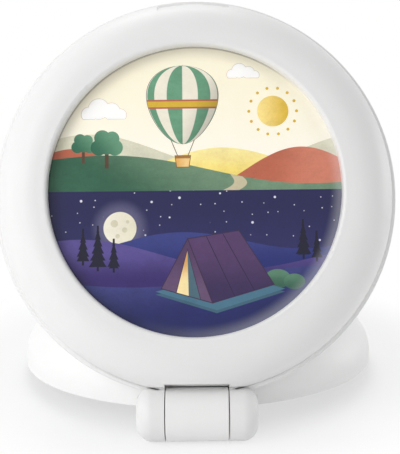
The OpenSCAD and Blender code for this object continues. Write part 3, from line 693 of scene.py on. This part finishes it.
def paint_night(art, divide):
    """Paints the night half below the divide, from the sky to the nearest shapes."""
    s, looks, x, y = art.s, art.looks, art.x, art.y
    night = divide - y

    def lay(inside, tone, **more):
        art.lay(inside.least(night), tone, **more)

    lay(night, looks.night_low, second=looks.night_high, blend=((y + 24) * 0.05).step(), texture=0.12)

    # stars of random sizes, in two patterns
    for scale, size, shift in ((0.12, 0.040, (21.9, 9.3, 0)), (0.22, 0.036, (65.7, 27.9, 0))):
        moved = s.first("ShaderNodeVectorMath", {"operation": "ADD"}, {0: art.flat, 1: shift})
        stars = s.add("ShaderNodeTexVoronoi", {"voronoi_dimensions": "2D"}, {"Vector": moved, "Scale": scale})
        tint = Field(s, s.first("ShaderNodeSeparateColor", {}, {0: stars.outputs["Color"]}))
        spot = (size * (0.35 + tint) - Field(s, stars.outputs["Distance"])) / scale
        lay(spot.least(tint * 8 - 4.6), (0.72, 0.72, 0.82), texture=0.0)

    # full moon with a soft halo
    mx, my = -25.5, -13.0
    lay(art.dot(mx, my, 8.2), (0.115, 0.11, 0.215), soft=2.4)
    lay(art.dot(mx, my, 5.6), looks.cream,
        second=(0.80, 0.76, 0.60), blend=((x - mx) * 0.09 + 0.4).step(), texture=0.08)
    for cx, cy, r in ((-1.9, 1.6, 1.25), (1.6, -0.6, 0.9), (-0.8, -2.7, 0.75), (2.6, 2.2, 0.6)):
        lay(art.dot(mx + cx, my + cy, r), (0.70, 0.66, 0.50))

    # hills from far to near
    lay(art.hill(-18.0, 3.6, -28, 88, 0.03), (0.014, 0.022, 0.165),
        second=(0.040, 0.052, 0.235), blend=((y + 26) * 0.1).step())
    lay(art.hill(-22.5, 4.2, -62, 100, -0.04), looks.violet,
        second=(0.105, 0.078, 0.290), blend=((y + 30) * 0.09 + 0.1).step(), texture=0.22)

    # firs, each with its place, foot and height
    for tx, foot, tall in ((-38.0, -25.5, 12.5), (-33.0, -27.5, 15.5), (-27.6, -28.0, 11.5),
                           (36.5, -24.0, 13.5), (41.0, -25.0, 10.5)):
        down = foot + tall - y
        skirt = down * 0.2 * (0.72 + 0.4 * ((down * 0.42) % 1.0))
        tree = (skirt - abs(x - tx)).least(y - foot - 1.4).least(down)
        trunk = (0.35 - abs(x - tx)).least(y - foot).least(down)
        lay(tree.most(trunk), (0.004, 0.003, 0.022))

    # front hill, with bushes beside the tent
    lay(art.hill(-30.0, 2.6, 14, 120, 0.03), looks.indigo, second=(0.055, 0.062, 0.235),
        blend=((y + 44) * 0.055 - (x + 10) * 0.006).step(), texture=0.28)
    for cx, cy, wide, high in ((27.6, -30.6, 4.4, 3.2), (33.2, -31.6, 3.6, 2.6)):
        lay(art.oval(cx, cy, wide, high), (0.040, 0.13, 0.085),
            second=(0.11, 0.25, 0.16), blend=(y - cy).step(-2, 3), texture=0.2)

    # ridge tent: groundsheet with its edge, far wall with seams, front with its door open
    lay(art.corners((-13.5, -35.6), (7.0, -42.0), (30.0, -35.0), (12.0, -29.5)), (0.050, 0.13, 0.19))
    lay(art.corners((-13.5, -34.6), (7.0, -41.0), (30.0, -34.0), (12.0, -28.5)), looks.teal)
    near_foot, far_foot, far_top, near_top = (5.6, -38.6), (26.4, -32.6), (14.8, -14.2), (-2.6, -16.8)
    lower = ((y + 36) * 0.06).step()
    wall = art.corners(near_foot, far_foot, far_top, near_top)
    lay(wall, looks.plum, second=(0.095, 0.045, 0.140), blend=lower, texture=0.2)
    for k in (0.36, 0.68):
        top = Vector(near_top).lerp(Vector(far_top), k)
        foot = Vector(near_foot).lerp(Vector(far_foot), k)
        lay(wall.least(0.13 - abs(art.side(foot, top))), (0.022, 0.010, 0.050))
    front = art.corners((-11.6, -33.6), near_foot, near_top)
    lay(front, (0.135, 0.075, 0.165), second=(0.085, 0.042, 0.120), blend=lower, texture=0.18)
    door = art.corners((-6.6, -35.1), (1.6, -37.4), (-2.7, -20.4))
    lay(door, (0.93, 0.78, 0.42), second=(0.72, 0.38, 0.12),
        blend=((-24.0 - y) * -0.11 + 0.9).step(), texture=0.12)
    lay(art.corners((-2.4, -36.3), (1.6, -37.4), (-2.7, -20.4)), (0.075, 0.15, 0.20), texture=0.12)
    for shape in (wall, front):
        art.line(shape.least(night), (0.040, 0.020, 0.060), 0.15)
    art.line(door.least(night), (0.050, 0.026, 0.070), 0.12)


def printed_picture(looks, divide):
    """Matt printed film on a panel lit from behind, with a day and a night half.

    The lip's shadow is painted shade in the film's colour at the panel's edge, most at the upper left, and
    the light that the lip throws back is a painted pale light at the lower right. Both fade inwards from the
    window's edge.
    """
    s = Shading("picture_print")
    art = Painting(s, looks)
    paint_day(art)
    paint_night(art, divide)
    reach = (art.x.power(2) + art.y.power(2)).root() - WINDOW_R / MM
    lower_right = (art.x * 0.84 - art.y * 0.54) * (MM / WINDOW_R)
    upper_left = 1 - lower_right.step(-0.2, 0.3)
    # painted shade: the lip's shadow at the upper left and a faint darkening all round the edge; painted light: a
    # pale glow from the lip at the lower right
    painted_cast_shadow = 0.2 * reach.step(-5.5, 0.2) + 0.3 * reach.step(-0.75, -0.25)
    painted_shade = 1 - 0.08 * reach.step(-9, -0.5) - upper_left * painted_cast_shadow
    painted_light = 0.23 * lower_right.step(0.05, 0.95) * reach.step(-4.4, 0.4)
    surface = s.mix(s.shade(art.surface, painted_shade), (0.86, 0.87, 0.92), painted_light)
    glow = surface
    for _ in range(2):
        glow = s.first("ShaderNodeVectorMath", {"operation": "MULTIPLY"}, {0: glow, 1: surface})
    s.set(Base_Color=surface, Specular_IOR_Level=0.2, Coat_Weight=0.4, Coat_Roughness=0.16,
          Roughness=0.46 + 0.06 * (art.speckle - 0.5), Emission_Color=glow, Emission_Strength=0.15,
          Normal=s.bump(s.noise(0.00012, 2, 0.5), 0.000004, 0.4))
    return s.material


def disc_mesh(name, radius, low, high, sides=192):
    """A flat disc. Its front fills the middle of the baking map, and its back and edge take corners."""
    front_spot, back_spot = (0.5, 0.5, 0.46), (0.07, 0.07, 0.055)
    edge_outside, edge_inside = (0.93, 0.07, 0.055), (0.93, 0.07, 0.035)
    bm = bmesh.new()
    layer = bm.loops.layers.uv.new("OFBake")
    turns = [(math.cos(2 * math.pi * i / sides), math.sin(2 * math.pi * i / sides)) for i in range(sides)]
    front, back = ([bm.verts.new(DISC @ Vector((radius * c, radius * s, out))) for c, s in turns]
                   for out in (high, low))

    def face(verts, places):
        """A face whose corners lie at a turn round a spot of the map."""
        for loop, ((u, v, size), i) in zip(bm.faces.new(verts).loops, places):
            c, s = turns[i % sides]
            loop[layer].uv = (u + size * c, v + size * s)

    face(front, [(front_spot, i) for i in range(sides)])
    face(back[::-1], [(back_spot, i) for i in reversed(range(sides))])
    for i in range(sides):
        n = (i + 1) % sides
        face([front[i], back[i], back[n], front[n]],
             [(edge_outside, i), (edge_inside, i), (edge_inside, n), (edge_outside, n)])
    return mesh_of(bm, name)


# ---- stage ----

def set_up(item, place, aim, roll=0.0):
    """Puts a lamp or the camera at a place, aimed at a spot."""
    turned = (aim - place).to_track_quat("-Z", "Y").to_matrix() @ Matrix.Rotation(roll, 3, "Z")
    item.location = place
    item.rotation_mode = "QUATERNION"
    item.rotation_quaternion = turned.to_quaternion()


def add_camera(looks):
    """The camera turns round a spot in the middle of the clock, and aims a little to the right of it."""
    spot = Vector((0, -0.04856, 0.07))
    aim_right, aim_up = 0.00159, 0.0002
    a, e = math.radians(looks.azimuth), math.radians(looks.elevation)
    back = Vector((math.sin(a) * math.cos(e), -math.cos(a) * math.cos(e), math.sin(e)))
    right = Vector((math.cos(a), math.sin(a), 0))
    up = right.cross(-back)
    data = bpy.data.cameras.new("camera")
    data.lens = looks.focal / MM
    data.sensor_width = 36
    data.clip_start, data.clip_end = 0.01, 20
    camera = link("camera", data)
    aim = spot + right * aim_right + up * aim_up
    set_up(camera, spot + back * looks.distance, aim, math.radians(looks.roll))
    bpy.context.scene.camera = camera


# Each lamp's place, the height that it aims at over the origin, and its width.
LAMPS = {
    "side": ((-1.0, -0.22, 0.26), 0.06, 0.6),
    "key": ((-0.75, -0.65, 0.75), 0.06, 0.5),
    "top": ((-0.1, 0.45, 1.0), 0.06, 0.6),
    "edge": ((1.0, 0.35, 0.15), 0.06, 0.5),
    "fill": ((-0.45, -0.60, 0.05), 0.02, 0.4),
}


def add_lamps(looks):
    for name, (place, aim_height, size) in LAMPS.items():
        data = bpy.data.lights.new(name + "_lamp", "AREA")
        data.shape = "RECTANGLE"
        data.size = data.size_y = size
        data.energy = getattr(looks, name)
        set_up(link(name + "_lamp", data), Vector(place), Vector((0, 0, aim_height)))


def add_world(strength):
    """Even white light of this strength from all round, looked at as plain white."""
    world = bpy.data.worlds.new("studio")
    bpy.context.scene.world = world
    world.use_nodes = True
    w = Nodes(world.node_tree)
    w.tree.nodes.clear()
    light, seen = (w.first("ShaderNodeBackground", {}, {"Color": WHITE, "Strength": power})
                   for power in (strength, 1.0))
    mix = w.first("ShaderNodeMixShader", {}, {0: w.looked_at(), 1: light, 2: seen})
    w.add("ShaderNodeOutputWorld", {}, {"Surface": mix})


def floor_material():
    """Pale floor that fades to plain white away from the clock."""
    middle_y, fade_start, fade_end, veil_near = 0.02, 0.08, 0.125, 0.6
    s = Shading("pale_floor")
    fade = s.distance(s.place, (0, middle_y, 0)).step(fade_start, fade_end)
    s.set(Base_Color=(0.93, 0.93, 0.935), Roughness=0.9, Specular_IOR_Level=0.1)
    white = s.first("ShaderNodeEmission", {}, {"Color": WHITE, "Strength": 1.0})
    veil = s.looked_at() * (veil_near + (1 - veil_near) * fade)
    mix = s.first("ShaderNodeMixShader", {}, {0: veil, 1: s.shader.outputs[0], 2: white})
    s.feed(s.output.inputs["Surface"], mix)
    return s.material


def add_floor():
    half = 3.0
    mesh = bpy.data.meshes.new("floor")
    corners = [(-half, -half, 0), (half, -half, 0), (half, half, 0), (-half, half, 0)]
    mesh.from_pydata(corners, [], [(0, 1, 2, 3)])
    mesh.materials.append(floor_material())
    link("floor", mesh)


# ---- operators ----

class CLOCK_OT_set_stage(bpy.types.Operator):
    """Sets up the camera, the lamps and the floor"""
    bl_idname = "clock.set_stage"
    bl_label = "Set the stage"

    def execute(self, context):
        looks = context.scene.clock_stage
        add_camera(looks)
        add_world(looks.sky)
        add_lamps(looks)
        add_floor()
        context.scene.view_settings.view_transform = "Standard"
        return {"FINISHED"}


class CLOCK_OT_dress_shells(bpy.types.Operator):
    """Gives the shells, the cover, the battery door and the hinge plugs their moulded finish"""
    bl_idname = "clock.dress_shells"
    bl_label = "Dress the shells"

    def execute(self, context):
        looks = context.scene.clock_shell
        # the cover gets a lighter copy of the shells' white, as painted light that makes up for the shade the
        # clock throws on it
        painted_light_gain, brightest, rougher = 1.06, 0.94, 0.03
        cover = tuple(min(c * painted_light_gain, brightest) for c in looks.white)
        for name, tone, more, *nodes in (
                ("bezel_white", looks.white, 0, "front_bezel"),
                ("shell_white", looks.white, rougher, "rear_shell", "battery_door", "hinge_plugs"),
                ("cover_white", cover, 0, "stand_cover")):
            dress(moulded_plastic(name, tone, looks.roughness + more, looks.grain), *nodes)
        return {"FINISHED"}


class CLOCK_OT_make_picture(bpy.types.Operator):
    """Makes the printed picture of day and night"""
    bl_idname = "clock.make_picture"
    bl_label = "Make the picture"

    def execute(self, context):
        divide = -0.3
        mesh = disc_mesh("picture", PANEL_R, PANEL_BACK, PANEL_FRONT)
        material = printed_picture(context.scene.clock_picture, divide)
        add_piece("picture", mesh, material, "clock", "picture_print", "picture_panel")
        return {"FINISHED"}


class CLOCK_OT_dress_controls(bpy.types.Operator):
    """Gives the buttons and the slide switches their finish and their raised signs"""
    bl_idname = "clock.dress_controls"
    bl_label = "Dress the controls"

    def execute(self, context):
        looks = context.scene.clock_shell
        rise, sun_r = 0.05, 1.75
        for name, tone, *nodes in (
                ("button_yellow", looks.yellow, "light_button"),
                ("button_grey", looks.grey, "hour_button", "minute_button", "alarm_button", "clock_button"),
                ("knob_grey", (0.13, 0.145, 0.17), "alarm_slider", "volume_slider")):
            dress(moulded_plastic(name, tone, 0.5, looks.grain), *nodes)
        ink = plain_moulding("sign_white", (0.80, 0.80, 0.78), 0.5, 0.0004)
        u, v, top = on_back("light_button")
        rays = ray_ring().grow("light_sign_rays", ink, Count=8, Radius=0.00335, Ray_Length=0.0014,
                               Ray_Width=0.0005, Ray_Height=2 * rise * MM)
        rays.transform(BACK @ Matrix.Translation(Vector((u, v, top)) * MM))
        add_piece("light_sign_rays", rays, ink, "light_button", "button_yellow")
        disc = back_prisms("light_sign", [circle(u, v, sun_r, 40)], top - rise, top + rise)
        add_piece("light_sign", disc, ink, "light_button", "button_yellow")
        for node, sign in (("hour_button", HOUR_SIGN), ("minute_button", MINUTE_SIGN),
                           ("alarm_button", BELL_SIGN), ("clock_button", CLOCK_SIGN)):
            u, v, top = on_back(node)
            mesh = back_prisms(node + "_sign", placed(sign, u, v), top - rise, top + rise)
            add_piece(node + "_sign", mesh, ink, node, "button_grey")
        return {"FINISHED"}


class CLOCK_OT_mark_back(bpy.types.Operator):
    """Adds the signs beside the slide switches"""
    bl_idname = "clock.mark_back"
    bl_label = "Mark the back"

    def execute(self, context):
        recess, sunk, raised = 1.0, 0.03, 0.04
        to_clock, to_bell, to_speaker = 6.9, 6.6, 7.4
        ink = plain_moulding("print_grey", (0.20, 0.215, 0.24), 0.55, 0.0004)
        floor = on_back("rear_shell")[2] - recess
        u, v = slot_middle("alarm_slider")
        outlines = placed(CLOCK_SIGN, u - to_clock, v, 0.85) + placed(BELL_SIGN, u + to_bell, v, 0.95)
        u, v = slot_middle("volume_slider")
        outlines += placed(speaker_sign(1), u - to_speaker, v) + placed(speaker_sign(3), u + to_speaker, v)
        mesh = back_prisms("switch_signs", outlines, floor - sunk, floor + raised)
        add_piece("switch_signs", mesh, ink, "clock", "shell_white")
        return {"FINISHED"}


# The lit segments of each digit, and each segment's place in half digits, with 1 where it stands upright.
SEGMENTS = {"0": "abcdef", "1": "bc", "2": "abged"}
SEGMENT_PLACES = {"a": (0, 1, 0), "b": (0.5, 0.5, 1), "c": (0.5, -0.5, 1), "d": (0, -1, 0),
                  "e": (-0.5, -0.5, 1), "f": (-0.5, 0.5, 1), "g": (0, 0, 0)}


class CLOCK_OT_light_display(bpy.types.Operator):
    """Adds the time on the display under the clear window"""
    bl_idname = "clock.light_display"
    bl_label = "Light the display"

    def execute(self, context):
        high = context.scene.clock_shell.digit_height
        wide, bar, thick, film = 0.52 * high, 0.43 * high, 0.14 * high, 0.00003
        pitch, dot_up, dot_r = 1.42 * wide, 0.22 * high / MM, 0.07 * high / MM
        across, up = -middle("display_window", 0), middle("display_window", 1) - CENTRE_Y
        centre = Vector((across, up, -span("display_module", 2)[0] + film))
        points, turns = [], []
        for place, digit in zip((-1.75, -0.72, 0.72, 1.75), "1200"):
            for name in SEGMENTS[digit]:
                x, y, upright = SEGMENT_PLACES[name]
                points.append((place * pitch + x * wide, y * high / 2, 0))
                turns.append(upright * math.pi / 2)
        base = bpy.data.meshes.new("time_points")
        base.from_pydata(points, [], [])
        base.attributes.new("turn", "FLOAT", "POINT").data.foreach_set("value", turns)
        ink = plain_moulding("segment_black", (0.02, 0.024, 0.022), 0.35, 0.0006)
        mesh = segment_bars().grow("time_segments", ink, base,
                                   Bar_Length=bar, Bar_Width=thick, Bar_Height=film)
        mesh.transform(BACK @ Matrix.Translation(centre))
        add_piece("time_segments", mesh, ink, "clock", "display_grey")
        u, v, top = centre / MM
        dots = [circle(u, v + way * dot_up, dot_r, 20) for way in (-1, 1)]
        mesh = back_prisms("time_dots", dots, top - film / MM / 2, top + film / MM / 2)
        add_piece("time_dots", mesh, ink, "clock", "display_grey")
        return {"FINISHED"}


class CLOCK_OT_coil_springs(bpy.types.Operator):
    """Winds the springs that press on the cells"""
    bl_idname = "clock.coil_springs"
    bl_label = "Coil the springs"

    def execute(self, context):
        wire, row_gap = 0.00035, 0.001
        steel = brushed_metal("spring_steel", (0.60, 0.585, 0.54), 0.26)
        points = sorted(node_points("contact_springs"), key=lambda p: p.y)
        springs = [[points[0]]]
        for before, point in zip(points, points[1:]):
            if point.y - before.y > row_gap:
                springs.append([])
            springs[-1].append(point)
        tree = wire_coil()
        bm = bmesh.new()
        for i, spring in enumerate(springs):
            (left, right), (bottom, top), (back, front) = [(min(v), max(v)) for v in zip(*spring)]
            coil = tree.grow(f"coil_{i}", steel, Turns=4.0, Coil_Radius=(top - bottom) / 2 - wire,
                             Coil_Length=right - left - 2 * wire, Wire_Radius=wire)
            start = Matrix.Translation((left + wire, (bottom + top) / 2, (back + front) / 2))
            coil.transform(CLOCK @ start @ Matrix.Rotation(math.radians(90), 4, "Y"))
            bm.from_mesh(coil)
        mesh = mesh_of(bm, "contact_coils")
        mesh.shade_smooth()
        add_piece("contact_coils", mesh, steel, "clock", "contact_metal", "contact_springs")
        return {"FINISHED"}


# Each finish inside the clock: how it is made, its name, its values and the nodes that have it.
INSIDE = (
    (plain_moulding, "opal_plastic", ((0.86, 0.86, 0.84), 0.5), "diffuser_plate"),
    (plain_moulding, "inner_white", ((0.84, 0.84, 0.82), 0.6), "light_box"),
    (plain_moulding, "lamp_warm", ((0.90, 0.72, 0.24), 0.12), "day_lamps"),
    (plain_moulding, "lamp_cool", ((0.18, 0.27, 0.75), 0.12), "night_lamps"),
    (circuit_board, "circuit_board", (), "main_board", "control_board"),
    (plain_moulding, "component_black", ((0.016, 0.016, 0.018), 0.45),
     "board_components", "tact_switches", "speaker"),
    (brushed_metal, "screw_steel", ((0.50, 0.50, 0.51), 0.32),
     "shell_screws", "battery_door_screw", "board_screws"),
    (brushed_metal, "pin_steel", ((0.52, 0.52, 0.53), 0.28, (0.3, 14, 14)), "hinge_pin"),
    (brushed_metal, "contact_metal", ((0.58, 0.56, 0.50), 0.3), "contact_plates", "slide_switches"),
    (cell_sleeve, "cell_metal", (), "battery_cells"),
    (plain_moulding, "lead_red", ((0.42, 0.012, 0.012), 0.4), "battery_leads", "speaker_leads"),
    (plain_moulding, "ribbon_grey", ((0.42, 0.42, 0.44), 0.5), "board_ribbon"),
    (clear_plastic, "display_clear", ((0.75, 0.80, 0.80), 0.2), "display_window"),
    (plain_moulding, "display_grey", ((0.33, 0.39, 0.32), 0.3), "display_module"),
)


class CLOCK_OT_dress_inside(bpy.types.Operator):
    """Gives the light box, the boards, the cells and the fasteners their finish"""
    bl_idname = "clock.dress_inside"
    bl_label = "Dress the inside"

    def execute(self, context):
        for make, name, values, *nodes in INSIDE:
            dress(make(name, *values), *nodes)
        return {"FINISHED"}


GROUPS = {"clock_shell": ShellLooks, "clock_picture": PictureLooks, "clock_stage": StageLooks}
STEPS = (CLOCK_OT_set_stage, CLOCK_OT_dress_shells, CLOCK_OT_make_picture, CLOCK_OT_dress_controls,
         CLOCK_OT_mark_back, CLOCK_OT_light_display, CLOCK_OT_coil_springs, CLOCK_OT_dress_inside)


class CLOCK_PT_panel(bpy.types.Panel):
    """Lists the steps that dress the clock"""
    bl_label = "Folding alarm clock"
    bl_idname = "CLOCK_PT_panel"
    bl_space_type = "VIEW_3D"
    bl_region_type = "UI"
    bl_category = "Clock"

    def draw(self, context):
        for step in STEPS:
            self.layout.operator(step.bl_idname)
        for group in GROUPS:
            looks = getattr(context.scene, group)
            box = self.layout.box()
            for name in looks.__annotations__:
                box.prop(looks, name)


CLASSES = (*GROUPS.values(), *STEPS, CLOCK_PT_panel)


def register():
    for cls in CLASSES:
        bpy.utils.register_class(cls)
    for name, looks in GROUPS.items():
        setattr(bpy.types.Scene, name, PointerProperty(type=looks))


def unregister():
    for name in GROUPS:
        delattr(bpy.types.Scene, name)
    for cls in reversed(CLASSES):
        bpy.utils.unregister_class(cls)


def main():
    register()
    for step in STEPS:
        family, name = step.bl_idname.split(".")
        getattr(getattr(bpy.ops, family), name)()


if __name__ == "__main__":
    main()
